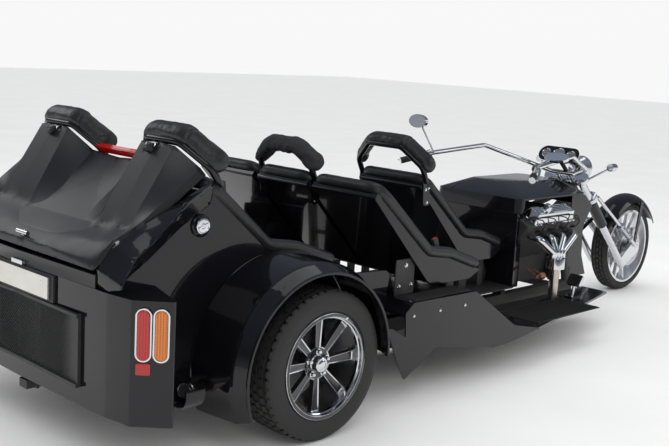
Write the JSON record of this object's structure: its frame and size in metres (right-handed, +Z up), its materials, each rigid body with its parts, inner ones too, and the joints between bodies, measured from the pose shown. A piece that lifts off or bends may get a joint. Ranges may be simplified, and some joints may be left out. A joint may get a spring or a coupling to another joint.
{
  "type": "motorized trike",
  "caption": "Long custom trike with an open front engine, raked fork, three rows of bucket seats and a boot with a hinged lid.",
  "frame": {"origin": "the point on the ground under the middle of the trike's overall length and width", "axes": "+X forward, +Y to the trike's left, +Z up"},
  "size_m": [5.3743, 1.91, 1.3705],
  "materials": {
    "tyre": "matte",
    "gloss_black": "gloss",
    "satin_black": "satin",
    "chrome": "polished",
    "leather": "satin",
    "cover_fabric": "matte",
    "engine_metal": "rough",
    "cast_alloy": "brushed",
    "disc_steel": "brushed",
    "red_lens": "gloss",
    "amber_lens": "gloss",
    "black_plastic": "matte",
    "plate": "satin"
  },
  "bodies": {
    "chassis": {"frame": "satin_black", "frame_cross_members": "satin_black", "rear_axle": "satin_black", "rear_springs": "satin_black", "drive_shaft": "disc_steel", "engine": "engine_metal", "valve_covers": "chrome", "headers": "chrome", "down_pipes": "chrome", "exhaust": "chrome", "tail_pipes": "chrome", "tail_shoulders": "gloss_black", "exhaust_shields": "gloss_black", "engine_cover": "gloss_black", "knee_wall": "gloss_black", "radiator": "black_plastic", "cheeks": "gloss_black", "side_board_left": "gloss_black", "side_board_right": "gloss_black", "floor_pan": "black_plastic", "rear_body": "gloss_black", "rear_fender_left": "gloss_black", "rear_fender_right": "gloss_black", "seat_shells": "gloss_black", "seat_pads": "leather", "seat_rolls": "leather", "head_hoops": "gloss_black", "head_pads": "leather", "head_cover": "cover_fabric", "seat_brackets": "satin_black", "lid_hinges": "chrome", "rear_grille": "black_plastic", "number_plate": "plate", "tail_lamps_red": "red_lens", "tail_lamps_amber": "amber_lens", "lamp_bezels": "chrome", "brake_light": "red_lens", "fuel_cap": "chrome", "tow_hitch": "satin_black", "foot_controls": "chrome"},
    "steering": {"fork": "chrome", "fork_shrouds": "satin_black", "front_fender": "gloss_black", "handlebars": "chrome", "dash_pod": "gloss_black", "headlamp": "chrome", "mirrors": "chrome", "front_indicators": "chrome", "front_calipers": "cast_alloy"},
    "front_wheel": {"front_tyre": "tyre", "front_rim": "gloss_black", "front_discs": "disc_steel"},
    "rear_wheel_left": {"rear_tyre_left": "tyre", "rear_rim_left": "gloss_black"},
    "rear_wheel_right": {"rear_tyre_right": "tyre", "rear_rim_right": "gloss_black"},
    "boot_lid_body": {"boot_lid": "satin_black", "lid_handle": "chrome"}
  },
  "joints": [
    {"name": "steering_turn", "type": "hinge", "parent": "chassis", "child": "steering", "pos_m": [2.39579, 0, 0], "axis": [-0.7071, 0, 0.7071], "range_deg": [-30, 30]},
    {"name": "front_wheel_spin", "type": "hinge", "parent": "steering", "child": "front_wheel", "pos_m": [2.33579, 0, 0.336], "axis": [0, 1, 0], "continuous": true},
    {"name": "rear_wheel_left_spin", "type": "hinge", "parent": "chassis", "child": "rear_wheel_left", "pos_m": [-1.71421, 0.798, 0.341], "axis": [0, 1, 0], "continuous": true},
    {"name": "rear_wheel_right_spin", "type": "hinge", "parent": "chassis", "child": "rear_wheel_right", "pos_m": [-1.71421, -0.798, 0.341], "axis": [0, 1, 0], "continuous": true},
    {"name": "boot_lid_lift", "type": "hinge", "parent": "chassis", "child": "boot_lid_body", "pos_m": [-2.29098, 0, 1.26364], "axis": [0, 1, 0], "range_deg": [0, 60]}
  ]
}
